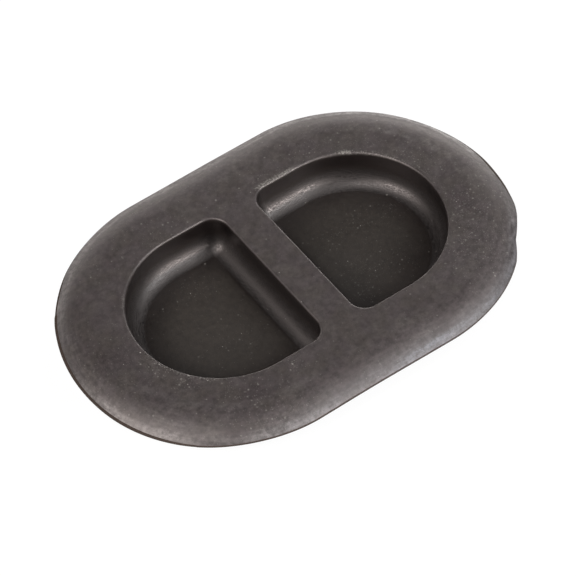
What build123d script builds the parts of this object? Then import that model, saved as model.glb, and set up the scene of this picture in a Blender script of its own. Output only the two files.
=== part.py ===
from build123d import *
import os
from math import cos, radians, sin, sqrt, tan

# Oval floor pan plug, moulded in one piece from black rubber.
# It closes an obround hole in a sheet-metal floor: a groove round the body takes the edge of
# the sheet, a bead under the groove holds the plug in, and a broad flange with a thin drooping
# lip seals on top. Two D-shaped recesses leave a bridge across the middle for finger and thumb.
#
# Frame: Z = 0 is the flat bottom, +Z is up, +X runs along the plug, origin at the plug's centre.

# ---- Driving dimensions, in millimetres and degrees ----

# The sheet that the plug closes
hole_length = 69.85
hole_width = 41.3
sheet_thickness = 1.2

# Flange
flange_overlap = 9.5        # how far the flange reaches past the edge of the hole
flange_root = 2.5           # thickness where the flange leaves the body
crown_width = 7.0           # width of the rounded band that falls from the flat top to the lip
lip_drop = 2.6              # height that the band falls
lip_edge = 0.4              # thickness of the lip's outer edge
underside_dish = 0.35       # how far the underside is hollowed, so that the lip touches first

# Body below the flange
neck_clearance = 0.1        # between the neck and the edge of the hole, each side
sheet_clearance = 0.3       # between the sheet and the groove, in height
bead_reach = 1.5            # how far the retaining bead stands out from the neck
bead_land = 0.8             # height of the bead's widest part
bead_bevel = 0.3
lead_in = 2.3               # how far the taper narrows from the bead to the flat bottom
foot_bevel = 0.6

# Recesses
side_wall = 3.3             # between a recess's mouth and the neck
recess_depth = 7.2
floor_thickness = 2.3
bridge_width = 7.2          # flat between the two mouths
mouth_corner = 3.5          # corners of a mouth beside the bridge
draft = 2.0                 # degrees, walls closing in towards the floor
floor_rounding = 3.0        # between walls and floor
mouth_bevel = 0.3           # between walls and top

# Moulding flash along one end of the lip, angles counted from +X round that end
flash_reach = 0.35
flash_root = 0.3
flash_tip = 0.15
flash_from = 146.0
flash_to = 214.0

# Torn nick in the lip at the other end
nick_depth = 0.55
nick_half_angle = 8.5
nick_angle = -39.5

# ---- Derived sizes ----

end_centre = (hole_length - hole_width) / 2
neck_radius = hole_width / 2 - neck_clearance
flange_radius = hole_width / 2 + flange_overlap
flat_radius = flange_radius - crown_width
bead_radius = neck_radius + bead_reach
foot_radius = bead_radius - lead_in
mouth_radius = neck_radius - side_wall

top_height = floor_thickness + recess_depth
root_height = top_height - flange_root
bead_height = root_height - sheet_thickness - sheet_clearance
lip_height = top_height - lip_drop
lip_base = lip_height - lip_edge
crown_rounding = (crown_width**2 + lip_drop**2) / (2 * lip_drop)

# A floor can be no rounder than the corner that it runs into.
floor_corner = mouth_corner - recess_depth * tan(radians(draft))
floor_fillet = min(floor_rounding, 0.95 * floor_corner)

# How far a cutting tool runs clear of what it cuts, and how deep an added piece is rooted
overcut = 1.0
rooting = 0.15


def crown_arc():
    """Arc from the lip up to the flat top, which it meets without a crease."""
    lean = crown_width / 2
    rise = top_height - crown_rounding + sqrt(crown_rounding**2 - lean**2)
    return ThreePointArc(
        (flange_radius, lip_height), (flat_radius + lean, rise), (flat_radius, top_height)
    )


def half_section(plane):
    """Section from the centre line out to the lip, drawn on the given upright plane."""
    dish_radius = (neck_radius + flange_radius) / 2
    dish_height = (root_height + lip_base) / 2 + underside_dish
    with BuildSketch(plane) as sketch:
        with BuildLine():
            Polyline(
                (flat_radius, top_height),
                (0, top_height),
                (0, 0),
                (foot_radius, 0),
                (bead_radius, bead_height - bead_land),
                (bead_radius, bead_height),
                (neck_radius, bead_height),
                (neck_radius, root_height),
                (dish_radius, dish_height),
                (flange_radius, lip_base),
                (flange_radius, lip_height),
            )
            crown_arc()
        make_face()
        foot = sketch.vertices().sort_by_distance((foot_radius, 0))[0]
        chamfer(foot, foot_bevel)
        bead = [v for v in sketch.vertices() if abs(v.X - bead_radius) < 1e-6]
        chamfer(bead, bead_bevel)
    return sketch.sketch


def both_ends(end):
    """The given +X end together with its mirror image at -X."""
    return [end, mirror(end, about=Plane.YZ)]


def body():
    """Obround body and flange: the section run straight along the middle and turned at the ends."""
    half = half_section(Plane.YZ)
    full = half + mirror(half, about=Plane.XZ)
    middle = extrude(full, end_centre, both=True)
    end = revolve(half_section(Plane.XZ), Axis.Z, 180).rotate(Axis.Z, -90)
    return middle + both_ends(Pos(end_centre, 0, 0) * end)


def recess():
    """The +X recess as a solid: a D with drafted walls, its flat side along the bridge.

    It is drawn mouth down, so that it narrows as it rises, and then turned over into place.
    """
    bridge_side = bridge_width / 2
    with BuildPart() as tool:
        with BuildSketch() as outline:
            with BuildLine():
                Polyline(
                    (end_centre, mouth_radius),
                    (bridge_side, mouth_radius),
                    (bridge_side, -mouth_radius),
                    (end_centre, -mouth_radius),
                )
                ThreePointArc(
                    (end_centre, -mouth_radius),
                    (end_centre + mouth_radius, 0),
                    (end_centre, mouth_radius),
                )
            make_face()
            fillet(outline.vertices().group_by(Axis.X)[0], mouth_corner)
        extrude(amount=recess_depth, taper=draft)
        fillet(tool.edges().group_by(Axis.Z)[-1], floor_fillet)
    return Pos(0, 0, top_height) * tool.part.rotate(Axis.X, 180)


def bevel_mouths(plug):
    """The plug with the edges between its flat top and its recesses broken."""
    top = plug.faces().filter_by(Axis.Z).sort_by(Axis.Z)[-1]
    edges = [edge for wire in top.inner_wires() for edge in wire.edges()]
    return chamfer(edges, mouth_bevel)


def flash():
    """Thin fin that the mould's parting line leaves along the lip at -X."""
    middle = (lip_base + lip_height) / 2
    inner = flange_radius - rooting
    outer = flange_radius + flash_reach
    with BuildSketch(Plane.XZ) as sketch:
        Polygon(
            (inner, middle - flash_root / 2),
            (outer, middle - flash_root / 2),
            (outer, middle - flash_root / 2 + flash_tip),
            (inner, middle + flash_root / 2),
            align=None,
        )
    fin = revolve(sketch.sketch, Axis.Z, flash_to - flash_from).rotate(Axis.Z, flash_from)
    return Pos(-end_centre, 0, 0) * fin


def nick():
    """Wedge that tears a shallow V out of the lip at +X."""

    def corner(radius, angle):
        turn = radians(angle)
        return (end_centre + radius * cos(turn), radius * sin(turn))

    reach = flange_radius + overcut
    with BuildSketch(Plane.XY.offset(lip_base - overcut)) as sketch:
        Polygon(
            corner(flange_radius - nick_depth, nick_angle),
            corner(flange_radius, nick_angle - nick_half_angle),
            corner(reach, nick_angle - nick_half_angle),
            corner(reach, nick_angle + nick_half_angle),
            corner(flange_radius, nick_angle + nick_half_angle),
            align=None,
        )
    return extrude(sketch.sketch, top_height - lip_base + overcut)


def plug():
    blank = body() - both_ends(recess())
    return bevel_mouths(blank) + flash() - nick()


os.makedirs("parts", exist_ok=True)
export_step(plug(), "parts/plug.step")
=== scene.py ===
from math import cos, pi, radians, sin, tan

import bpy
import numpy as np
from mathutils import Matrix, Vector


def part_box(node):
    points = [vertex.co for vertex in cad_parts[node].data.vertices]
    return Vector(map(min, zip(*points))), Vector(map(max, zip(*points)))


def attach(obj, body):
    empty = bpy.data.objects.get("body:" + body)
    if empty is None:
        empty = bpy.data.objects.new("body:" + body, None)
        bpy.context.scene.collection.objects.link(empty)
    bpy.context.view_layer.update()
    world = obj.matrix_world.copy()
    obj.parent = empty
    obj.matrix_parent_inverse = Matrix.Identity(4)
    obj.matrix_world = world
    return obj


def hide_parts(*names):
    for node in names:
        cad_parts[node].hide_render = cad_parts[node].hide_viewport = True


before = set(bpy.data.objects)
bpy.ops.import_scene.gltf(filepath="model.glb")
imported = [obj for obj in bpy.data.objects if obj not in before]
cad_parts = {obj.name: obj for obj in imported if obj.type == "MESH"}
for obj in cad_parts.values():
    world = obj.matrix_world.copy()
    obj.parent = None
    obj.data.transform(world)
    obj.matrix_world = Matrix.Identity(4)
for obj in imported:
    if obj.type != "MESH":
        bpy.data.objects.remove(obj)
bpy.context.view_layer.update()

MM = 0.001

# An oval floor pan plug of black rubber. One closed mesh takes the solid's place. It has the finer
# forms of the lip, the mouths and the floors, and carries masks that say where the rubber is dulled,
# dusty or bare, and where light and shade are painted on it.

# ---- The plug's sizes, from the frame where it gives them ----

low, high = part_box("plug")
TOP = high.z
CAD_LIP = (high.y - low.y) / 2
END = high.x - CAD_LIP              # distance of each end's centre from the middle

LIP = CAD_LIP - 0.15 * MM           # the lip wanders a little either side of this
FLAT = CAD_LIP - 7.0 * MM           # the flat top ends and the crown starts here
LIP_DROP = 2.6 * MM                 # how far the crown falls to the lip
LIP_EDGE = 0.4 * MM                 # thickness of the lip
LIP_CORNER = 0.08 * MM
NECK = CAD_LIP - 9.6 * MM           # bottom of the groove that takes the edge of the sheet
NECK_FILLET = 0.3 * MM
ROOT = TOP - 2.5 * MM               # underside of the flange at the neck
DISH = 0.35 * MM                    # how far that underside is hollowed
BEAD = NECK + 1.5 * MM              # the bead that holds the plug in
BEAD_TOP = ROOT - 1.5 * MM
BEAD_LAND = 0.8 * MM
BEAD_BEVEL = 0.3 * MM
FOOT = BEAD - 2.3 * MM              # where the taper under the bead ends
FOOT_BEVEL = 0.6 * MM

MOUTH = NECK - 3.3 * MM             # radius of a recess's round side
BRIDGE = 3.6 * MM                   # half the bridge
CORNER = 3.5 * MM                   # of a mouth, beside the bridge
DEPTH = 7.2 * MM
DRAFT = radians(2)
FLOOR_ROUND = 3.6 * MM              # between wall and floor, where a faint crease ends it
FLOOR_CREASE = radians(11)
CREASE_WIDTH = 0.06 * MM
FLOOR_MIDDLE = BRIDGE + 10.5 * MM   # where the rows of a floor run together
MOUTH_ROUND_FAR = 0.42 * MM         # between the flat top and the walls
MOUTH_ROUND_NEAR = 0.28 * MM
MOUTH_ROUND_MORE = 0.22 * MM        # added where the far side turns
MOUTH_ROUND_BRIDGE = 0.08 * MM      # and beside the bridge
WALL_FROM = 0.75 * MM               # the walls are plain from this depth

FLASH_FROM, FLASH_TO = 226, 146     # degrees round the left end
FLASH_REACH = {FLASH_FROM: 0.06 * MM, 205: 0.18 * MM, 172: 0.35 * MM}   # and it stays so from there
FLASH_TIP = 0.15 * MM               # its thickness
NICK_DEPTH = 0.64 * MM
NICK_ANGLE, NICK_FAR, NICK_NEAR = -39.5, 11, 9.5    # degrees round the right end
NICK_ROOM = 6 * MM                  # and the trimmed cut is narrow this far to each side
THIN_TRIM = 0.05 * MM               # width of that cut where the lip was trimmed least

# ---- Where the look of the surface changes ----

SKIN_DEPTH = 0.5 * MM               # the dulled skin fades out this far down the wall
WALL_FADE = 1.0 * MM                # a wall's look gives way to its rounding's over this depth
ON_FLOOR = DEPTH - 0.02 * MM        # what is deeper is floor
STEEP_FROM = 0.1 * MM               # no dust lies in a recess between this depth
STEEP_TO = DEPTH - 1.3 * MM         # and this
MARGIN = 0.2 * MM                   # what lies this little outside a mouth is taken to be inside
BELOW_FLOOR = DEPTH + 0.5 * MM      # what is deeper is the flat bottom
FLOOR_EDGE = 5.0 * MM               # the film of dust on a floor thins out over this width on the round side, painting the shade of the wall
BRIDGE_EDGE = 2.5 * MM              # and over this width beside the bridge,
BRIDGE_FILM_IN_SHADE = 0.3                   # where this share of it is left

# ---- How finely the mesh is divided ----

ARC_STEPS = 192
STRAIGHT_STEPS = 28
CORNER_STEPS = 24
BRIDGE_STEPS = 84
CROWN_STEPS = 26
CROWN_CROWDING = 0.9                # under 1, the steps crowd towards the lip
TAPER_STEPS = 5
BOTTOM_STEPS = 6
TOP_STEPS = 13
TOP_CROWDING = 1.6                  # over 1, the steps crowd towards the mouth
MOUTH_STEPS = 7
WALL_STEPS = 11
ROUND_STEPS = 19
FLOOR_STEPS = 12
MERGE = 0.002 * MM                  # points that lie closer than this become one


# What each point of the mesh carries for the rubber's material
MASKS = (
    "skin",         # 1 on the dulled upper face, 0 down in the recesses and underneath
    "crown",        # 0 at the flat top, rising to 1 at the lip
    "cut",          # 1 where the lip was trimmed
    "floor",        # 1 in the middle of a recess's floor, less towards its walls as painted shade
    "wall",         # 1 on a recess's wall
    "rounding",     # 1 on the rounding between wall and floor
    "crumbs_and_glint",       # 1 where crumbs lie thickest on a recess's rim, and where a glint is painted along it
    "pale",         # how thick the bloom is, with a painted sheen towards the lip and painted light and shade in patches
    "cool",         # 1 in the middle of the near side, where a bluish reflection is painted on the crown and the trimmed edge is painted lighter
    "along",        # way round the lip, in metres
    "across",       # way out from the centre line, in metres
    "dust",         # share of the surface's cells that hold a grain of dust
)


def column(name):
    """The column of a point's row that holds the given mask, after its place."""
    return 3 + MASKS.index(name)


def masks_of(count, **values):
    """The masks of a row of points, 0 where none is given. The last, dust, is added by cover()."""
    return [values.get(name, 0) * np.ones(count) for name in MASKS[:-1]]


class Skin:
    """Collects grids of points as quads, and joins them where they meet."""

    def __init__(self):
        self.points = []
        self.faces = []
        self.count = 0

    def add(self, rows):
        """rows: closed rows of points with their masks, as an array (rows, points, values)."""
        height, width = rows.shape[:2]
        self.points.append(rows.reshape(height * width, -1))
        for i in range(height - 1):
            for j in range(width):
                k = (j + 1) % width
                a = self.count + i * width
                b = a + width
                self.faces.append((a + j, a + k, b + k, b + j))
        self.count += height * width

    def mesh(self, name):
        """One mesh of all the grids, with the masks as attributes and the cut as second material."""
        points = cover(np.vstack(self.points))
        places = np.round(points[:, :3] / MERGE).astype(np.int64)
        _, first, index = np.unique(places, axis=0, return_index=True, return_inverse=True)
        index = index.reshape(-1)
        points = points[first]
        faces = [list(dict.fromkeys(int(index[corner]) for corner in face)) for face in self.faces]
        faces = [corners for corners in faces if len(corners) > 2]
        mesh = bpy.data.meshes.new(name)
        mesh.from_pydata([tuple(point) for point in points[:, :3]], [], faces)
        cut = points[:, column("cut")]
        for polygon, corners in zip(mesh.polygons, faces):
            polygon.material_index = int(min(cut[corners]) > 0.5)
        for mask in MASKS:
            layer = mesh.attributes.new(mask, "FLOAT", "POINT")
            layer.data.foreach_set("value", points[:, column(mask)].astype(np.float32))
        mesh.shade_smooth()
        return mesh


# ---- Once round the plug ----

def outline():
    """Once round the obround from the middle of the far side, clockwise from above.

    Returns the point on the centre line and the outward direction at each step."""
    steps = STRAIGHT_STEPS + CORNER_STEPS // 2
    along = np.linspace(0, END, steps + 1)[:-1]
    turn = np.linspace(pi / 2, -pi / 2, ARC_STEPS + 1)[:-1]
    flat, ends = np.zeros(steps), np.full(ARC_STEPS, END)
    pieces = [
        (along, flat, flat, flat + 1),
        (ends, 0 * ends, np.cos(turn), np.sin(turn)),
        (END - along, flat, flat, flat - 1),
    ]
    right = np.hstack([np.array(p) for p in pieces]).T
    both = np.vstack([right, -right])
    return both[:, :2], both[:, 2:]


SPINE, OUT = outline()
ROUND = 4 * END + 2 * pi * LIP      # length of the lip


def place_at(angle):
    """Where on the lip, counted clockwise from the middle of the far side, an angle lies.

    Angles run from 90 to -90 round the right end and from 270 to 90 round the left."""
    if angle <= 90 and angle >= -90:
        return END + radians(90 - angle) * LIP
    return 3 * END + pi * LIP + radians(270 - angle) * LIP


def places():
    """That place for every step of the outline."""
    turn = np.arctan2(OUT[:, 1], OUT[:, 0])
    right = END + (pi / 2 - turn) * LIP
    left = 3 * END + pi * LIP + (pi * 1.5 - np.where(turn < 0, turn + 2 * pi, turn)) * LIP
    x = SPINE[:, 0]
    on_arc = np.abs(np.abs(x) - END) < 1e-9
    far = np.where(x >= 0, x, ROUND + x)
    near = 2 * END + pi * LIP - x
    straight = np.where(OUT[:, 1] > 0, far, near)
    return np.where(on_arc, np.where(x > 0, right, left), straight)


PLACE = places()


def swell(centre, reach, height):
    """A smooth rise or fall somewhere along the lip, over reach to each side of its centre."""
    gap = np.abs((PLACE - centre + ROUND / 2) % ROUND - ROUND / 2)
    return height * np.where(gap < reach, 0.5 + 0.5 * np.cos(pi * np.minimum(gap / reach, 1)), 0)


def lip_wander():
    """How far the lip stands outside its plain line, all the way round."""
    past = PLACE - place_at(NICK_ANGLE)
    nick = np.minimum(1 + past / (radians(NICK_FAR) * LIP), 1 - past / (radians(NICK_NEAR) * LIP))
    wander = (
        swell(place_at(90) - 2 * MM, 30 * MM, 0.19 * MM)        # far side, to the right
        + swell(place_at(60), 10 * MM, -0.10 * MM)              # right end, far part
        + swell(place_at(25), 21 * MM, -0.36 * MM)
        + swell(place_at(-8), 6 * MM, -0.10 * MM)
        + swell(place_at(-24), 3.5 * MM, 0.14 * MM)             # the point before the nick
        - NICK_DEPTH * np.clip(nick, 0, 1)
        + swell(place_at(-55), 14 * MM, 0.14 * MM)              # right end, near part
        + swell(place_at(-90) + 18 * MM, 20 * MM, -0.18 * MM)   # near side
        + swell(place_at(248), 14 * MM, -0.18 * MM)
        + swell(place_at(214), 24 * MM, 0.35 * MM)              # left end, near part
        + swell(place_at(186), 8 * MM, -0.05 * MM)
        + swell(place_at(167), 15 * MM, -0.09 * MM)             # left end, far part
        + swell(place_at(138), 8 * MM, -0.14 * MM)
        + swell(place_at(112), 14 * MM, -0.23 * MM)
        + IN_FLASH * swell(place_at(FLASH_TO), 6 * MM, 0.08 * MM)
    )
    room = CAD_LIP / np.maximum(np.abs(OUT).max(1), 0.5) - LIP
    return np.minimum(wander, room)


def flash_reach():
    """How far the flash stands out from the lip, all the way round: most on its far half."""
    at = [place_at(angle) for angle in FLASH_REACH]
    return IN_FLASH * np.interp(PLACE, at, list(FLASH_REACH.values()))


def trimmed_width():
    """How wide the level cut at the top of the lip is, all the way round."""
    width = (
        THIN_TRIM
        + swell(place_at(12), 18 * MM, 0.32 * MM)               # right end
        + swell(place_at(-8), 12 * MM, 0.50 * MM)
        + swell(place_at(136), 9 * MM, 0.34 * MM)               # left end
        + swell(place_at(205), 18 * MM, 0.16 * MM)
        + swell(place_at(160), 16 * MM, 0.10 * MM)
        + swell(place_at(-90) + 15 * MM, 50 * MM, 0.06 * MM)    # near side
    )
    at_nick = np.abs(PLACE - place_at(NICK_ANGLE)) < NICK_ROOM
    return np.where(at_nick, THIN_TRIM, width)


def lip_bloom_and_sheen():
    """How thick the bloom and a painted sheen are on the outermost band of the crown, all the way
    round.
    """
    return (
        0.50
        + swell(place_at(48), 30 * MM, 0.60)            # right end, far part
        + swell(place_at(18), 12 * MM, 0.12)
        - swell(place_at(-28), 28 * MM, 0.46)           # right end, near part
        + swell(place_at(-30), 5 * MM, 0.25)
        - swell(place_at(-72), 16 * MM, 0.36)
        - swell(place_at(-82), 7 * MM, 0.10)
        - swell(place_at(-90) + 20 * MM, 22 * MM, 0.50)     # near side
        - swell(place_at(243), 11 * MM, 0.28)           # left end
        - swell(place_at(222), 15 * MM, 0.44)
        - swell(place_at(200), 11 * MM, 0.40)
        - swell(place_at(174), 18 * MM, 0.56)
        - swell(place_at(149), 14 * MM, 0.26)
        - swell(place_at(122), 9 * MM, 0.10)
    )


def rim_bloom_and_sheen():
    """How much thicker the bloom and painted sheen are on the lip itself, all the way round."""
    return (
        0.04
        + swell(place_at(24), 22 * MM, 0.80)            # right end
        + swell(place_at(200), 18 * MM, 0.60)           # left end
        + swell(place_at(-90) + 40 * MM, 14 * MM, 0.15)     # near side
    )


def inner_bloom_and_sheen():
    """How thick the bloom and painted sheen are where the crown begins, all the way round."""
    return (
        0.03
        + swell(place_at(32), 34 * MM, 0.15)            # right end, far part
        + swell(place_at(250), 34 * MM, 0.06)           # near side, to the left
        - swell(place_at(165), 26 * MM, 0.03)           # left end
    )


IN_FLASH = ((PLACE > place_at(FLASH_FROM)) & (PLACE < place_at(FLASH_TO))).astype(float)
WANDER = lip_wander()
FIN = flash_reach()
TRIM = trimmed_width()
# The near side, where the crown gets a painted bluish reflection and the trimmed edge is painted
# lighter
SHEEN_SIDE = swell(place_at(-90) + 2 * MM, 50 * MM, 1.0)

# The bands of bloom and painted sheen, each with its strength and its place, out from the centre
# line: the crown is painted lighter towards the lip, where its slope shines
LIP_BLOOM_AND_SHEEN = lip_bloom_and_sheen()
RIM_BLOOM_AND_SHEEN = rim_bloom_and_sheen()
INNER_BLOOM_AND_SHEEN = inner_bloom_and_sheen()
LIP_BAND = (                        # the outermost band of the crown starts here
    28.0 * MM
    + swell(place_at(-90) + 14 * MM, 60 * MM, 0.6 * MM)
    + swell(place_at(200), 26 * MM, 1.0 * MM)
)
LIP_BAND_EDGE = 0.6 * MM            # and reaches its full strength over this width
RIM_BAND = 28.9 * MM - swell(place_at(20), 30 * MM, 0.35 * MM)      # and so does the lip itself
RIM_BAND_WIDTH = 0.7 * MM
INNER_BAND = 23.4 * MM              # middle of the band where the crown begins
INNER_BAND_WIDTH = 2.0 * MM


def eased(share):
    """A share from 0 to 1 that starts and ends gently."""
    return share * share * (3 - 2 * share)


def bloom_and_sheen_at(reach):
    """How thick the bloom and painted sheen are at the given way out from the centre line, all the
    way round.
    """
    lip = np.clip((reach - LIP_BAND) / LIP_BAND_EDGE + 0.5, 0, 1)
    rim = np.clip((reach - RIM_BAND) / RIM_BAND_WIDTH + 0.5, 0, 1)
    inner = np.clip(1 - np.abs(reach - INNER_BAND) / INNER_BAND_WIDTH, 0, 1)
    return LIP_BLOOM_AND_SHEEN * eased(lip) + RIM_BLOOM_AND_SHEEN * rim + INNER_BLOOM_AND_SHEEN * eased(inner)


def ring(radius, height, sway=0.0, skin=0.0, crown=0.0, cut=0.0):
    """One closed row of points with its masks, sway further out than radius."""
    reach = radius + sway + 0 * PLACE
    flat = SPINE + OUT * reach[:, None]
    masks = masks_of(
        len(flat), skin=skin, crown=crown, cut=cut,
        pale=bloom_and_sheen_at(reach), cool=SHEEN_SIDE, along=PLACE, across=reach,
    )
    return np.column_stack([flat, height + 0 * PLACE, *masks])


def crown_fall(reach):
    """How far the crown has fallen at the given distance from the edge of the flat top."""
    width = LIP - FLAT
    arc = (width**2 + LIP_DROP**2) / (2 * LIP_DROP)
    return arc - np.sqrt(arc**2 - reach**2)


def crown_rows(sway):
    """From the edge of the flat top over the crown, as far as the trimmed cut."""
    width = LIP - FLAT
    rows = []
    for share in np.sin(np.linspace(0, pi / 2, CROWN_STEPS + 1)) ** CROWN_CROWDING:
        reach = (width - TRIM) * share
        out = reach / width
        rows.append(ring(FLAT + reach, TOP - crown_fall(reach), sway * out**2, skin=1, crown=out))
    return rows


def lip_rows(sway):
    """The level cut, the lip's edge with the flash half way down it, and its lower corner."""
    step = 0.01 * MM                # between the last of the skin and the first of the cut
    start = LIP - TRIM + step
    skin_edge = TOP - crown_fall(LIP - FLAT - TRIM) - step
    top = TOP - LIP_DROP
    base = top - LIP_EDGE
    middle = top - LIP_EDGE / 2
    return [
        ring(start, skin_edge, sway, skin=1, crown=1, cut=1),
        ring(start, top - 0.2 * LIP_CORNER, sway, cut=1),
        ring(LIP - 0.3 * LIP_CORNER, top - 0.3 * LIP_CORNER, sway, cut=1),
        ring(LIP, top - LIP_CORNER, sway, cut=1),
        ring(LIP, middle + FLASH_TIP / 2, WANDER, cut=1),
        ring(LIP, middle - FLASH_TIP / 2, WANDER, cut=1),
        ring(LIP, base + LIP_CORNER, sway, cut=1),
        ring(LIP - LIP_CORNER, base, sway),
    ]


def underside_rows(sway):
    """The flange's hollowed underside, from the lip to the neck's fillet."""
    base = TOP - LIP_DROP - LIP_EDGE
    half = (NECK + CAD_LIP) / 2
    half_height = (ROOT + base) / 2 + DISH
    rows = []
    for share in (0.25, 0.5, 0.75):
        height = base + (half_height - base) * share
        rows.append(ring(LIP + (half - LIP) * share, height, sway * (1 - share)))
    rows.append(ring(half, half_height))
    rows.append(ring((half + NECK) / 2, (half_height + ROOT) / 2))
    fillet_top = ROOT + (half_height - ROOT) * NECK_FILLET / (half - NECK)
    rows.append(ring(NECK + NECK_FILLET, fillet_top))
    return rows


def quarter(*angles):
    """For each angle of a rounding, the shares of its radius still to go along and across it."""
    return [(1 - sin(radians(angle)), 1 - cos(radians(angle))) for angle in angles]


def body_rows():
    """Down the neck, over the bead, down the taper and round its foot, and in to the middle."""
    rows = []
    for along, across in quarter(30, 60, 90):
        rows.append(ring(NECK + NECK_FILLET * along, ROOT - NECK_FILLET * across))
    rows.append(ring(NECK, BEAD_TOP + NECK_FILLET))
    for along, across in quarter(30, 60, 90):
        rows.append(ring(NECK + NECK_FILLET * across, BEAD_TOP + NECK_FILLET * along))
    rows.append(ring(BEAD - BEAD_BEVEL, BEAD_TOP))
    for along, across in quarter(22, 45, 68, 90):
        rows.append(ring(BEAD - BEAD_BEVEL * along, BEAD_TOP - BEAD_BEVEL * across))
    taper_top = BEAD_TOP - BEAD_LAND
    rows.append(ring(BEAD, taper_top))
    slope = (BEAD - FOOT) / taper_top
    for height in np.linspace(taper_top, FOOT_BEVEL, TAPER_STEPS + 1)[1:]:
        rows.append(ring(FOOT + slope * height, height))
    for along, across in quarter(22, 45, 68, 90):
        inset = FOOT_BEVEL * (across - slope * (1 - across))
        rows.append(ring(FOOT - inset, FOOT_BEVEL * along))
    for share in np.linspace(1, 0, BOTTOM_STEPS + 1)[1:]:
        rows.append(ring((FOOT - FOOT_BEVEL) * share, 0))
    return rows


def flange_rows():
    """From the edge of the flat top over the crown and lip, and down to the flat bottom."""
    sway = WANDER - FIN             # the lip's line without the flash
    return np.array([*crown_rows(sway), *lip_rows(sway), *underside_rows(sway), *body_rows()])


# ---- The recesses ----

def mouth_outline():
    """The right recess's mouth, clockwise from the far corner beside the bridge.

    Returns the point and the direction away from the recess at each step."""
    half = CORNER_STEPS // 2
    side = BRIDGE + CORNER
    run = np.linspace(side, END, STRAIGHT_STEPS + 1)[:-1]
    turn = np.linspace(pi / 2, -pi / 2, ARC_STEPS + 1)[:-1]
    rise = np.linspace(-(MOUTH - CORNER), MOUTH - CORNER, BRIDGE_STEPS + 1)[:-1]

    def bend(centre, start, end, steps):
        a = np.linspace(start, end, steps + 1)[:-1]
        return np.column_stack([
            centre[0] + CORNER * np.cos(a), centre[1] + CORNER * np.sin(a), np.cos(a), np.sin(a)
        ])

    def line(x, y, nx, ny):
        one = np.ones(max(np.size(x), np.size(y)))
        return np.column_stack([x * one, y * one, nx * one, ny * one])

    far, near = (side, MOUTH - CORNER), (side, -MOUTH + CORNER)
    pieces = [
        bend(far, pi * 0.75, pi * 0.5, half),
        line(run, MOUTH, 0, 1),
        np.column_stack([
            END + MOUTH * np.cos(turn), MOUTH * np.sin(turn), np.cos(turn), np.sin(turn)
        ]),
        line(END - (run - side), -MOUTH, 0, -1),
        bend(near, -pi * 0.5, -pi, CORNER_STEPS),
        line(BRIDGE, rise, -1, 0),
        bend(far, pi, pi * 0.75, half),
    ]
    loop = np.vstack(pieces)
    return loop[:, :2], loop[:, 2:]


def half_flat_outline():
    """The right half of the flat top, once round, step for step with the recess's mouth."""
    half = len(SPINE) // 2
    edge = (SPINE + OUT * FLAT)[:half]
    steps = BRIDGE_STEPS + CORNER_STEPS
    y = np.linspace(-FLAT, FLAT, steps + 1)[:-1]
    return np.vstack([edge, np.column_stack([0 * y, y])])


def mouth_profile(away):
    """Inset and depth at each step of the mouth's rounding, for every step of its outline.

    The rounding is softer on the far side and beside the bridge, most of all where the far side
    turns."""
    far = 0.5 + 0.5 * away[:, 1]
    turning = np.clip(2 * away[:, 0] * away[:, 1], 0, 1)
    by_bridge = np.clip(-away[:, 0], 0, 1)
    radius = MOUTH_ROUND_NEAR + (MOUTH_ROUND_FAR - MOUTH_ROUND_NEAR) * far
    radius = radius + MOUTH_ROUND_MORE * turning + MOUTH_ROUND_BRIDGE * by_bridge
    profile = []
    for turn in np.linspace(0, pi / 2 - DRAFT, MOUTH_STEPS + 1):
        profile.append((radius * (sin(turn) - cos(DRAFT) + sin(DRAFT)), radius * (1 - cos(turn))))
    return profile


def wall_profile():
    """Inset and depth down the wall and round onto the floor."""
    last = pi / 2 - FLOOR_CREASE
    centre_depth = DEPTH - FLOOR_ROUND * sin(last)
    wall_end = centre_depth + FLOOR_ROUND * sin(DRAFT)
    centre = FLOOR_ROUND * cos(DRAFT) + tan(DRAFT) * wall_end
    depths = np.linspace(WALL_FROM, wall_end, WALL_STEPS + 1)[:-1]
    profile = [(tan(DRAFT) * depth, depth) for depth in depths]
    for turn in np.linspace(DRAFT, last, ROUND_STEPS + 1):
        profile.append((centre - FLOOR_ROUND * cos(turn), centre_depth + FLOOR_ROUND * sin(turn)))
    profile.append((profile[-1][0] + CREASE_WIDTH, DEPTH))
    return profile


def recess_row(flat, depth, film=0.0):
    """One closed row of points at the given depth, with its masks."""
    wall_end = DEPTH - FLOOR_ROUND
    on_wall = np.clip(depth / SKIN_DEPTH - 1, 0, 1) * np.clip((wall_end - depth) / WALL_FADE, 0, 1)
    past_wall = np.clip((depth - wall_end) / WALL_FADE, 0, 1) * (depth < ON_FLOOR)
    skin = np.clip(1 - depth / SKIN_DEPTH, 0, 1)
    masks = masks_of(len(flat), skin=skin, floor=film, wall=on_wall, rounding=past_wall)
    return np.column_stack([flat, (TOP - depth) * np.ones(len(flat)), *masks])


def film_and_edge_shade_at(flat, inset):
    """How thick the film of dust on a floor lies, thinned towards its edge to paint the shade that
    the walls cast there.
    """
    from_round = MOUTH - np.hypot(np.maximum(flat[:, 0] - END, 0), flat[:, 1]) - inset
    from_bridge = flat[:, 0] - BRIDGE - inset
    by_round = np.clip(from_round / FLOOR_EDGE, 0, 1)
    by_bridge = np.clip(BRIDGE_FILM_IN_SHADE + from_bridge / BRIDGE_EDGE, 0, 1)
    return by_round * by_bridge


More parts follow.
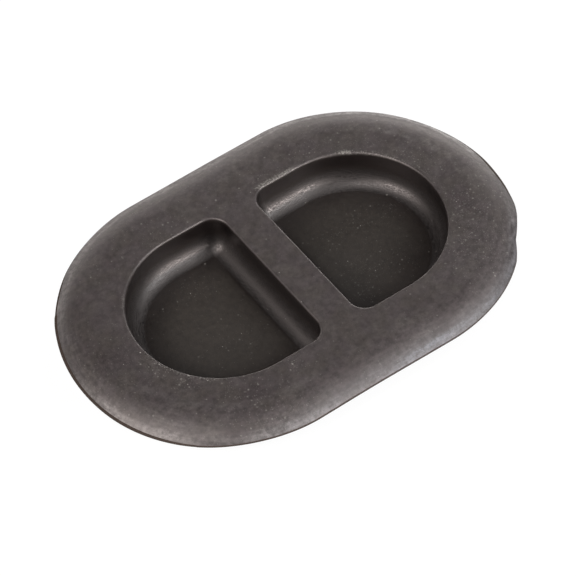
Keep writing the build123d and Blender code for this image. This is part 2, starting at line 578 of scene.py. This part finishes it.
def recess_rows():
    """The flat between the outline and the mouth, then the recess, for the right half."""
    at, away = mouth_outline()
    edge = half_flat_outline()
    mouth = mouth_profile(away)
    wall = wall_profile()
    first_inset, _ = mouth[0]
    mouth_edge = at - away * first_inset[:, None]
    rows = []
    for share in 1 - np.linspace(1, 0, TOP_STEPS + 1)[:-1] ** TOP_CROWDING:
        rows.append(recess_row(edge + (mouth_edge - edge) * share, 0.0))
    for inset, depth in mouth + wall:
        rows.append(recess_row(at - away * (inset * np.ones(len(at)))[:, None], depth))
    last_inset, _ = wall[-1]
    floor_edge = at - away * last_inset
    middle = np.array([FLOOR_MIDDLE, 0])
    for share in np.linspace(1, 0, FLOOR_STEPS + 1)[1:]:
        flat = middle + (floor_edge - middle) * share
        rows.append(recess_row(flat, DEPTH, film_and_edge_shade_at(flat, last_inset)))
    return np.array(rows)


# ---- Dust and bloom ----

# Where dust has gathered on the flange: x, y and reach in millimetres, and how thick it lies
CLUSTERS = (
    (31, -10, 9, 0.34),         # right end
    (34, -7, 3, 0.40),
    (33, -10, 2.5, 0.35),
    (38, -4, 6, 0.20),
    (28, -17, 6, 0.34),
    (30, -20, 3, 0.30),
    (20, 18.5, 5, 0.34),        # beside the right recess's mouth, far side
    (27, 14, 5, 0.34),
    (33, 4, 4, 0.45),
    (31, 8, 3, 0.35),
    (9, 18, 4, 0.22),
    (4, 14, 3, 0.45),           # along the bridge
    (-3, 1, 3, 0.42),
    (-3, -9, 3, 0.36),
    (2.5, 3, 3, 0.26),
    (-31.5, -5, 2.2, 0.95),     # beside the left recess's mouth, near the left end
    (-28.4, -11, 2.2, 0.85),
    (-24, -17, 3, 0.40),
    (-34, 0, 7, 0.14),
    (-12.5, -19.2, 1.6, 0.90),  # near side
    (-22, -25, 7, 0.26),
    (-16, 19, 6, 0.24),         # far side
)
THIN_DUST = 0.045               # everywhere else on the flange

# And where it has gathered on the floors of the recesses, in the same way
FLOOR_CLUSTERS = (
    (13, -3, 4.0, 0.45),        # right recess
    (10.5, -8, 3, 0.50),
    (12.4, 4.5, 2.5, 0.40),
    (18.8, 4.5, 3, 0.40),
    (25.3, 4, 2.5, 0.35),
    (15, -6.5, 2.5, 0.40),
    (20, -6, 3, 0.24),
    (-14, 9.8, 2.5, 0.45),      # left recess
    (-14, -3, 6, 0.12),
)
THIN_FLOOR_DUST = 0.018         # everywhere else on the floors


# Where the upper side is painted lighter or darker than elsewhere, in the same way: partly thicker or
# thinner bloom, partly painted sheen and shade that even out the light
BLOOM_AND_SHADING_PATCHES = (
    (33, -7, 3.5, -0.08),           # right end
    (25.5, -15.5, 2.5, 0.03),
    (32.5, -17, 2.5, 0.03),
    (29.4, -24.6, 2.5, -0.06),
    (37, 1.8, 2.5, 0.08),
    (34.4, 7.8, 3, 0.07),
    (27.4, 17.6, 2.5, 0.03),
    (23.5, 17.5, 3, 0.02),
    (31, -8, 4, 0.03),
    (37.6, -13.4, 3, -0.02),
    (22.6, -26.9, 2, -0.05),
    (16, -20.2, 2.5, 0.03),         # near side
    (25, -19.5, 4, 0.04),
    (10, -25.2, 3, 0.12),
    (5, -23, 3, 0.02),
    (13, -29.9, 2.5, -0.12),
    (-7, -28, 2.5, -0.06),
    (-12, -25.2, 3, 0.02),
    (0, 20, 8, 0.03),               # far side
    (12, 18.4, 4, 0.05),
    (18, 20, 5, 0.03),
    (-4.2, 23, 2.5, 0.02),
    (-10.4, 23, 2.5, 0.03),
    (-22, 22, 4, -0.03),
    (-37.2, 1.5, 3.5, -0.07),       # left end
    (-36.5, 7, 3, -0.03),
    (-33, 14, 5, -0.02),
    (-28.5, 15.5, 3, 0.03),
    (-39, 13.7, 3, -0.08),
    (-33.8, -13.6, 2.5, -0.05),
    (-29.4, -17.3, 2.5, -0.04),
    (-22.2, -21.5, 3.5, -0.08),
    (-27.8, -21.8, 3, 0.13),
    (-33.2, -17.2, 3, 0.06),
    (-37, -13.5, 3, 0.05),
    (-42, -12.5, 2.5, -0.12),
    (-33.8, -20.8, 2, -0.10),
    (-28.7, -24.4, 3, -0.24),       # painted shade: a grey gap in the sheen band by the lip
    (-25.3, -19.8, 2.5, -0.05),
    (11.5, -21.5, 2.5, -0.06),
)
THIN_BLOOM = 0.10                       # everywhere else on the upper side

# Where a floor is painted lighter or darker, as shares of the whole: partly a thicker or thinner film
# of dust, partly painted shade where the walls keep light off
FILM_AND_SHADE_PATCHES = (
    (9, -4, 5, 0.22),
    (12.4, -0.6, 2.6, 0.60),
    (8.8, -4.8, 2.5, -0.25),
    (19.7, -7.1, 3, -0.20),
    (24.4, -0.8, 3, 0.25),
    (7.5, 13.4, 3.5, -0.60),
    (8, 8, 3, -0.12),
    (8.8, -11.5, 4, -0.60),
    (15, 10, 5, -0.15),
    (21.5, 5.5, 4, -0.20),
    (21.5, -9.5, 4, -0.40),
    (-8, -7, 3, 0.10),
    (-6.6, -11.3, 3, -0.25),
    (-8.6, 0, 2.5, -0.15),
    (-17, -3, 3, 0.12),
    (-13.6, 8.5, 3, -0.20),
    (-21.8, 12.3, 4.5, -0.50),
    (-5.5, 13.5, 3, -0.30),
    (-15, -13, 7, -0.10),
)

# Crumbs on a recess's rim, and a painted glint where the rim catches the light: x and y on the rim,
# reach and how thick they lie, in the same way
RIM_CRUMBS_AND_GLINT = (
    (6.3, 17.8, 1.6, 0.55),     # right recess, far side
    (9, 17.8, 2.4, 0.70),
    (12.5, 17.8, 2, 0.75),
    (23.4, 15.1, 1.5, 0.85),
    (27, 12, 4, 0.42),
    (30.5, 7, 3, 0.35),
    (-12, 17.5, 7, 0.25),       # left recess
    (-28.5, 10.5, 3, 0.35),
    (-30, -6, 4, 0.35),
    (-26, -13, 4, 0.35),
)
RIM_LINE_OUT = 0.45 * MM          # their line lies this far outside the mouth
RIM_LINE_WIDTH = 0.5 * MM

# Single grains that stand out: x, y, depth under the top and size in millimetres
SPECKS = (
    (-32.4, -1.0, 0, 0.24),     # left end of the flange
    (-38.75, -17.05, 2.5, 0.26),
    (-31.2, -5.2, 0, 0.20),
    (-28.5, -10.2, 0, 0.28),
    (-26.5, -13.2, 0, 0.16),
    (-29.7, -11.8, 0, 0.15),
    (-36.2, -1.4, 0, 0.13),
    (-12.6, -19.2, 0, 0.20),    # near side
    (-2.6, -1.0, 0, 0.18),      # along the bridge
    (-3.3, -8.8, 0, 0.16),
    (-3.8, 12.5, 0, 0.14),
    (37.5, 1.1, 0.4, 0.15),     # right end
    (32.5, -6.9, 0, 0.16),
    (29.2, -12.1, 0, 0.17),
    (31.1, -19.4, 0.1, 0.17),
    (28.7, -19.0, 0.1, 0.14),
    (27.3, -21.7, 0.3, 0.14),
    (-17.3, -3.8, 7.2, 0.14),   # floor of the left recess
    (-12.9, -3.4, 7.2, 0.14),
    (-15.0, 9.7, 7.2, 0.15),
    (12.0, -1.4, 7.2, 0.16),    # floor of the right recess
    (18.8, 4.0, 7.2, 0.15),
    (14.7, -6.2, 7.2, 0.16),
)


def patches_at(points, patches):
    """What such patches add up to at each point."""
    x, y = points[:, 0] / MM, points[:, 1] / MM
    total = 0 * x
    for centre_x, centre_y, reach, amount in patches:
        total += amount * np.exp(-((x - centre_x)**2 + (y - centre_y)**2) / reach**2)
    return total


def dust_at(points, depth, radius):
    """The share of cells with a grain. None lie on the walls of a recess, nor underneath."""
    on_flange = THIN_DUST + patches_at(points, CLUSTERS)
    on_floor = THIN_FLOOR_DUST + patches_at(points, FLOOR_CLUSTERS)
    share = np.where(radius < MOUTH, on_floor, on_flange)
    in_recess = radius < MOUTH + MARGIN
    steep = in_recess & (depth > STEEP_FROM) & (depth < STEEP_TO)
    bare = (points[:, column("skin")] < 0.5) & (points[:, column("cut")] < 0.5)
    underneath = (bare & ~in_recess) | (depth > BELOW_FLOOR)
    return np.clip(np.where(steep | underneath, 0, share), 0, 1)


def cover(points):
    """The points with their bloom and floor film adjusted by the patches, which also paint light and
    shade, and with the rims' crumb grains and painted glint and the dust added.
    """
    depth = TOP - points[:, 2]
    radius = np.hypot(np.maximum(np.abs(points[:, 0]) - END, 0), points[:, 1])
    # bloom, with painted sheen and shade in patches
    points[:, column("pale")] += THIN_BLOOM + patches_at(points, BLOOM_AND_SHADING_PATCHES)
    # floor film, with painted shade in patches
    points[:, column("floor")] *= 1 + patches_at(points, FILM_AND_SHADE_PATCHES)
    rim = np.exp(-((radius - MOUTH - RIM_LINE_OUT) / RIM_LINE_WIDTH) ** 2) * (depth < SKIN_DEPTH)
    points[:, column("crumbs_and_glint")] = np.clip(rim * patches_at(points, RIM_CRUMBS_AND_GLINT), 0, 1)
    return np.column_stack([points, dust_at(points, depth, radius)])


def plug():
    """The whole plug as one closed mesh."""
    skin = Skin()
    skin.add(flange_rows())
    right = recess_rows()
    left = right.copy()
    left[:, :, 0] *= -1
    skin.add(right[::-1])
    skin.add(left)
    return skin.mesh("moulded_plug")


# ---- The rubber ----

class Nodes:
    """Short ways to add the nodes of one material."""

    def __init__(self, name):
        self.material = bpy.data.materials.new(name)
        self.material.use_nodes = True
        self.tree = self.material.node_tree
        self.shader = self.tree.nodes["Principled BSDF"]
        self.place = self.tree.nodes.new("ShaderNodeTexCoord").outputs["Object"]

    def put(self, value, socket):
        """Sets a socket to a plain value, or links it to another node's output."""
        if isinstance(value, bpy.types.NodeSocket):
            self.tree.links.new(value, socket)
        else:
            socket.default_value = value

    def mask(self, name):
        """One of the values that each point of the mesh carries."""
        node = self.tree.nodes.new("ShaderNodeAttribute")
        node.attribute_name = name
        return node.outputs["Fac"]

    def total(self, *values):
        result = values[0]
        for value in values[1:]:
            result = self.math("ADD", result, value)
        return result

    def product(self, *values):
        result = values[0]
        for value in values[1:]:
            result = self.math("MULTIPLY", result, value)
        return result

    def math(self, operation, *values):
        node = self.tree.nodes.new("ShaderNodeMath")
        node.operation = operation
        for value, socket in zip(values, node.inputs):
            self.put(value, socket)
        return node.outputs[0]

    def ramp(self, value, start, end, low=0.0, high=1.0):
        """value taken from start..end to low..high, smoothly, and held outside that."""
        node = self.tree.nodes.new("ShaderNodeMapRange")
        node.interpolation_type = "SMOOTHSTEP"
        for item, socket in zip((value, start, end, low, high), node.inputs):
            self.put(item, socket)
        return node.outputs[0]

    def vector(self, x, y, z=0.0):
        node = self.tree.nodes.new("ShaderNodeCombineXYZ")
        for value, socket in zip((x, y, z), node.inputs):
            self.put(value, socket)
        return node.outputs[0]

    def noise(self, size, detail=2.0, place=None, stretch=(1, 1, 1), shift=0.0, roughness=0.5):
        """Noise from 0 to 1 with features of about the given size."""
        where = self.tree.nodes.new("ShaderNodeMapping")
        where.inputs["Scale"].default_value = stretch
        where.inputs["Location"].default_value = (shift, shift, shift)
        self.put(place or self.place, where.inputs["Vector"])
        node = self.tree.nodes.new("ShaderNodeTexNoise")
        node.inputs["Scale"].default_value = 1 / size
        node.inputs["Detail"].default_value = detail
        node.inputs["Roughness"].default_value = roughness
        self.tree.links.new(where.outputs[0], node.inputs["Vector"])
        return node.outputs["Fac"]

    def grains(self, cell, size, share):
        """Grains seen from above, at most one to a cell, in the given share of the cells."""
        cells = self.tree.nodes.new("ShaderNodeTexVoronoi")
        cells.voronoi_dimensions = "2D"
        cells.inputs["Scale"].default_value = 1 / cell
        self.put(self.place, cells.inputs["Vector"])
        chance = self.tree.nodes.new("ShaderNodeSeparateColor")
        self.put(cells.outputs["Color"], chance.inputs[0])
        there = self.math("LESS_THAN", chance.outputs[0], share)
        reach = self.ramp(chance.outputs[1], 0, 1, 0.5 * size / cell, size / cell)
        near = self.math("SUBTRACT", 1, self.math("DIVIDE", cells.outputs["Distance"], reach))
        strength = self.ramp(chance.outputs[2], 0, 1, 0.3, 1.0)
        return self.product(there, strength, self.ramp(near, 0, 0.5))

    def speck(self, place, size):
        """1 within a grain of the given size, 0 outside it."""
        gap = self.tree.nodes.new("ShaderNodeVectorMath")
        gap.operation = "DISTANCE"
        self.put(self.place, gap.inputs[0])
        self.put(place, gap.inputs[1])
        return self.ramp(gap.outputs["Value"], 0.35 * size, 0.65 * size, 1, 0)

    def blend(self, share, first, second):
        """first where share is 0 and second where it is 1, for plain values."""
        node = self.tree.nodes.new("ShaderNodeMix")
        self.put(share, node.inputs[0])
        self.put(first, node.inputs[2])
        self.put(second, node.inputs[3])
        return node.outputs[0]

    def scale(self, colour, factor):
        """The colour, lighter or darker by the factor."""
        node = self.tree.nodes.new("ShaderNodeVectorMath")
        node.operation = "SCALE"
        self.put(colour, node.inputs[0])
        self.put(factor, node.inputs["Scale"])
        return node.outputs[0]

    def mix(self, share, first, second):
        """first where share is 0 and second where it is 1, for colours."""
        node = self.tree.nodes.new("ShaderNodeMix")
        node.data_type = "RGBA"
        self.put(share, node.inputs[0])
        self.put(first if not isinstance(first, tuple) else (*first, 1), node.inputs[6])
        self.put(second if not isinstance(second, tuple) else (*second, 1), node.inputs[7])
        return node.outputs[2]


# Colours, as linear values
BARE = (0.0032, 0.0014, 0.0007)             # down in the recesses and underneath
# painted shade on a recess's walls
SHADED_WALL = (0.0016, 0.0004, 0.0003)
# greyer where a wall rounds onto the floor, so that the highlight there looks neutral: a painted tint
# of that highlight
ROUNDING_HIGHLIGHT_TINT = (0.0030, 0.0022, 0.0022)
FILM = (0.0190, 0.0158, 0.0126)             # the film of dust on the floors
DULL_PURPLISH = (0.0208, 0.0148, 0.0162)    # the upper face
DULL_OLIVE = (0.0208, 0.0156, 0.0140)
BLOOM = (0.238, 0.224, 0.218)
BLOOM_COVER = 0.59                          # how much of it shows where the bloom is 1 thick
# a painted bluish reflection on the near side's crown, in place of the bloom's colour there
BLUISH_SHEEN = (0.199, 0.224, 0.264)
DUST = (0.20, 0.19, 0.175)
SPECK = (0.30, 0.28, 0.26)
CUT = (0.066, 0.050, 0.042)
CUT_DARK = (0.040, 0.029, 0.024)
CUT_LIT_NEAR = (0.088, 0.076, 0.078)            # painted light: lighter on the near side, where that edge is lit


def material_cut():
    """The same rubber where the lip was trimmed: dark, matt and brownish."""
    n = Nodes("cut_rubber")
    colour = n.mix(n.noise(0.8 * MM, 3), CUT_DARK, CUT)
    # painted light on the near side's edge
    colour = n.mix(n.product(n.mask("cool"), 0.5), colour, CUT_LIT_NEAR)
    n.put(colour, n.shader.inputs["Base Color"])
    n.put(n.ramp(n.noise(0.5 * MM, 2, shift=4), 0.3, 0.7, 0.8, 0.95), n.shader.inputs["Roughness"])
    n.shader.inputs["Specular IOR Level"].default_value = 0.15
    return n.material


def bare_colour(n):
    """Black rubber down in the recesses and underneath, with painted shade on the walls, a painted
    tint of the highlight where they round off, and the film of dust on the floors, thinned towards
    the walls as painted shade.
    """
    # painted shade on the walls
    colour = n.mix(n.mask("wall"), BARE, SHADED_WALL)
    # painted tint of the highlight on the rounding
    colour = n.mix(n.mask("rounding"), colour, ROUNDING_HIGHLIGHT_TINT)
    # the film of dust, thinned towards the walls as painted shade
    return n.mix(n.mask("floor"), colour, FILM)


def dull_colour(n):
    """The upper face, olive in some places and purplish in others and on the near side."""
    near_side = n.product(n.mask("cool"), n.ramp(n.mask("crown"), 0.05, 0.5))
    olive = n.math("SUBTRACT", n.ramp(n.noise(3.5 * MM, 1, shift=5), 0.35, 0.65), near_side)
    return n.mix(olive, DULL_PURPLISH, DULL_OLIVE)


def bloomed(n, colour, round_the_lip):
    """The colour under a bloom that is patchy on the flat top and drawn out along the lip, with a
    painted sheen down the crown and a painted bluish reflection on the near side.
    """
    crown = n.mask("crown")
    clouds = n.noise(2.6 * MM, 4, shift=3, roughness=0.7)
    drawn_out = n.noise(1.5 * MM, 4, round_the_lip, (0.3, 1, 1), shift=3, roughness=0.7)
    patchy = n.ramp(n.blend(n.ramp(crown, 0.1, 0.6), clouds, drawn_out), 0.25, 0.75, 0.4, 1.6)
    # painted sheen: the bloom thickens down the crown's slope, where the slope shines
    sheen_on_slope = n.product(n.ramp(crown, 0.35, 1.0), 0.09)
    thick = n.product(n.total(n.mask("pale"), sheen_on_slope), patchy, n.mask("skin"))
    # painted bluish reflection on the near side, strongest towards the lip
    bluish = n.product(n.mask("cool"), n.ramp(crown, 0.55, 0.95))
    return n.mix(n.product(thick, BLOOM_COVER), colour, n.mix(bluish, BLOOM, BLUISH_SHEEN))


def mottled(n, colour, streaky):
    """The colour, mottled lighter and darker, less so on the floors and more so by the lip."""
    blotch = n.noise(1.0 * MM, 5, roughness=0.75)
    calm = n.math("SUBTRACT", n.product(n.mask("floor"), 0.14), n.product(n.mask("crown"), 0.20))
    darkest = n.total(0.5, calm)
    lightest = n.math("SUBTRACT", 1.5, calm)
    return n.scale(colour, n.total(n.ramp(blotch, 0.25, 0.75, darkest, lightest), streaky))


def dusted(n, colour):
    """The colour with grains of dust, fainter on the floors, crumb grains and a painted glint on the
    rims, and single specks.
    """
    dust, floor, crumbs_and_glint = n.mask("dust"), n.mask("floor"), n.mask("crumbs_and_glint")
    fine = n.grains(0.36 * MM, 0.12 * MM, dust)
    coarse = n.grains(1.0 * MM, 0.24 * MM, n.product(dust, 0.7))
    colour = n.mix(n.product(fine, n.blend(floor, 0.40, 0.24)), colour, DUST)
    colour = n.mix(n.product(coarse, n.blend(floor, 0.52, 0.32)), colour, DUST)
    ragged = n.ramp(n.noise(0.30 * MM, 2, shift=4), 0.3, 0.7, -0.45, 0.45)
    # crumbs on the rims, made brighter as a painted glint where the rims catch the light
    heaped = n.ramp(n.total(crumbs_and_glint, ragged), 0.35, 1.0, 0, 0.8)
    colour = n.mix(n.product(heaped, n.ramp(crumbs_and_glint, 0.05, 0.3)), colour, DUST)
    single = 0.0
    for x, y, depth, size in SPECKS:
        single = n.math("MAXIMUM", single, n.speck((x * MM, y * MM, TOP - depth * MM), size * MM))
    return n.mix(single, colour, SPECK)


def roughness(n, streaky):
    """Duller on the floors and the cut, glossier on the walls, grainy where they round off."""
    speckle = n.ramp(n.noise(0.26 * MM, 1, shift=2), 0.3, 0.7, -0.14, 0.14)
    rough = n.total(
        n.ramp(n.noise(0.9 * MM, 4, shift=8), 0.3, 0.7, 0.475, 0.525),
        n.product(streaky, 0.10),
        n.product(n.mask("floor"), 0.06),
        n.product(n.mask("wall"), -0.14),
        n.product(n.mask("rounding"), speckle),
    )
    return n.math("MAXIMUM", rough, n.product(n.mask("cut"), 0.85))


def grain(n):
    """The skin's fine grain, stronger where the walls round off."""
    bump = n.tree.nodes.new("ShaderNodeBump")
    bump.inputs["Distance"].default_value = 0.006 * MM
    n.put(n.total(1.0, n.product(n.mask("rounding"), 2.0)), bump.inputs["Strength"])
    n.put(n.noise(0.30 * MM, 2, shift=11), bump.inputs["Height"])
    return bump.outputs[0]


def material_rubber():
    """Black rubber, dulled by bloom on top, with dust on it."""
    n = Nodes("rubber")
    round_the_lip = n.vector(n.mask("along"), n.mask("across"))
    streak = n.noise(0.5 * MM, 2, round_the_lip, (0.06, 1, 1))
    streaky = n.product(n.mask("crown"), n.ramp(streak, 0.3, 0.7, -0.30, 0.30))
    colour = n.mix(n.mask("skin"), bare_colour(n), dull_colour(n))
    colour = bloomed(n, colour, round_the_lip)
    colour = dusted(n, mottled(n, colour, streaky))
    n.put(n.mix(n.mask("cut"), colour, CUT), n.shader.inputs["Base Color"])
    n.put(roughness(n, streaky), n.shader.inputs["Roughness"])
    n.put(grain(n), n.shader.inputs["Normal"])
    n.shader.inputs["Specular IOR Level"].default_value = 1.0
    n.shader.inputs["Specular Tint"].default_value = (1.0, 0.91, 0.89, 1)
    return n.material


# ---- Camera, floor and light ----

AZIMUTH, ELEVATION, ROLL = radians(-32.60), radians(50.98), radians(-3.62)
CAMERA_DISTANCE = 567.2 * MM
CAMERA_RIGHT, CAMERA_DOWN = 0.03 * MM, 4.596 * MM       # so that the plug lies as in the photograph
LENS, SENSOR = 198.6, 36                                # in millimetres

FLOOR_HALF = 1.5
FLOOR_GAP = 0.02 * MM       # below the object, so that neither shows through the other
FLOOR_SEEN = 0.93           # how white the camera sees the floor in full shade
FLOOR_SHADE = 0.10          # and what the light adds to that
FLOOR_GLOW = 0.45           # how bright it is in the gloss of the object
FLOOR_GREY = 0.8            # its colour in the light that it sends back onto the object

WARM = (1.0, 0.95, 0.92)
WHITE = (1.0, 0.99, 0.98)
COOL = (0.88, 0.97, 1.0)
LAMP_DISTANCE = 1.2
LAMPS = (
    # name, azimuth and elevation in degrees, size in metres, power in watts, colour
    ("key", 20, 22, (0.45, 0.35), 10.0, WARM),
    ("key_high", 40, 36, (0.5, 0.4), 4.7, COOL),
    ("left", 270, 37, (0.65, 0.5), 9.8, WARM),
    ("left_high", 300, 62, (0.5, 0.5), 4.0, WHITE),
    ("right", 60, 50, (0.5, 0.8), 3.2, WHITE),
    ("back", 150, 6, (1.6, 0.2), 4.4, WARM),
    ("back_high", 150, 22, (1.2, 0.3), 1.1, WHITE),
    ("back_left", 205, 8, (0.9, 0.25), 1.4, WHITE),
    ("back_right", 125, 10, (0.8, 0.3), 2.1, WHITE),
)


def towards(azimuth, elevation):
    """The direction from the object to a camera or lamp."""
    across = cos(elevation)
    return Vector((sin(azimuth) * across, -cos(azimuth) * across, sin(elevation)))


def camera():
    """At the photograph's viewing angle."""
    back = towards(AZIMUTH, ELEVATION)
    level = Vector((cos(AZIMUTH), sin(AZIMUTH), 0))
    rise = back.cross(level)
    right = level * cos(ROLL) + rise * sin(ROLL)
    up = rise * cos(ROLL) - level * sin(ROLL)
    lens = bpy.data.cameras.new("camera")
    lens.lens = LENS
    lens.sensor_width = SENSOR
    lens.clip_end = 10
    cam = bpy.data.objects.new("camera", lens)
    aim = Vector((0, 0, TOP)) + right * CAMERA_RIGHT - up * CAMERA_DOWN
    place = Matrix.Translation(aim + back * CAMERA_DISTANCE)
    cam.matrix_world = place @ Matrix((right, up, back)).transposed().to_4x4()
    bpy.context.collection.objects.link(cam)
    bpy.context.scene.camera = cam


def background():
    """White behind the object. It gives no light: the softboxes do."""
    world = bpy.data.worlds.new("world")
    bpy.context.scene.world = world
    world.use_nodes = True
    tree = world.node_tree
    path = tree.nodes.new("ShaderNodeLightPath")
    seen = tree.nodes["Background"]
    seen.inputs["Color"].default_value = (1, 1, 1, 1)
    tree.links.new(path.outputs["Is Camera Ray"], seen.inputs["Strength"])


def floor():
    """A pale floor. The camera sees it as white, a little less where the object shades it.

    It lies a hair below the object, and from below one looks through it."""
    mesh = bpy.data.meshes.new("floor")
    signs = ((-1, -1), (1, -1), (1, 1), (-1, 1))
    corners = [(x * FLOOR_HALF, y * FLOOR_HALF, low.z - FLOOR_GAP) for x, y in signs]
    mesh.from_pydata(corners, [], [(0, 1, 2, 3)])
    plane = bpy.data.objects.new("floor", mesh)
    bpy.context.collection.objects.link(plane)
    material = bpy.data.materials.new("floor")
    material.use_nodes = True
    tree = material.node_tree
    tree.nodes.remove(tree.nodes["Principled BSDF"])
    path = tree.nodes.new("ShaderNodeLightPath")

    def matt(grey):
        node = tree.nodes.new("ShaderNodeBsdfDiffuse")
        node.inputs["Color"].default_value = (grey, grey, grey, 1)
        return node.outputs[0]

    def glow(strength):
        node = tree.nodes.new("ShaderNodeEmission")
        node.inputs["Strength"].default_value = strength
        return node.outputs[0]

    def choose(share, other, chosen):
        node = tree.nodes.new("ShaderNodeMixShader")
        tree.links.new(share, node.inputs[0])
        tree.links.new(other, node.inputs[1])
        tree.links.new(chosen, node.inputs[2])
        return node.outputs[0]

    shaded = tree.nodes.new("ShaderNodeAddShader")
    tree.links.new(glow(FLOOR_SEEN), shaded.inputs[0])
    tree.links.new(matt(FLOOR_SHADE), shaded.inputs[1])
    white = choose(path.outputs["Is Glossy Ray"], matt(FLOOR_GREY), glow(FLOOR_GLOW))
    above = choose(path.outputs["Is Camera Ray"], white, shaded.outputs[0])
    below = tree.nodes.new("ShaderNodeNewGeometry").outputs["Backfacing"]
    clear = tree.nodes.new("ShaderNodeBsdfTransparent").outputs[0]
    tree.links.new(choose(below, above, clear), tree.nodes["Material Output"].inputs[0])
    mesh.materials.append(material)


def softbox(name, azimuth, elevation, size, power, colour):
    """A soft lamp that looks at the middle of the flat top."""
    light = bpy.data.lights.new(name, "AREA")
    light.shape = "RECTANGLE"
    light.size, light.size_y = size
    light.energy = power
    light.color = colour
    obj = bpy.data.objects.new(name, light)
    back = towards(radians(azimuth), radians(elevation))
    obj.location = back * LAMP_DISTANCE + Vector((0, 0, TOP))
    obj.rotation_euler = back.to_track_quat("Z", "Y").to_euler()
    obj.visible_camera = False
    bpy.context.collection.objects.link(obj)


piece = bpy.data.objects.new("moulded_plug", plug())
bpy.context.collection.objects.link(piece)
piece.data.materials.append(material_rubber())
piece.data.materials.append(material_cut())
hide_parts("plug")
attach(piece, "root")

camera()
floor()
background()
for lamp in LAMPS:
    softbox(*lamp)

bpy.context.scene.view_settings.view_transform = "Standard"
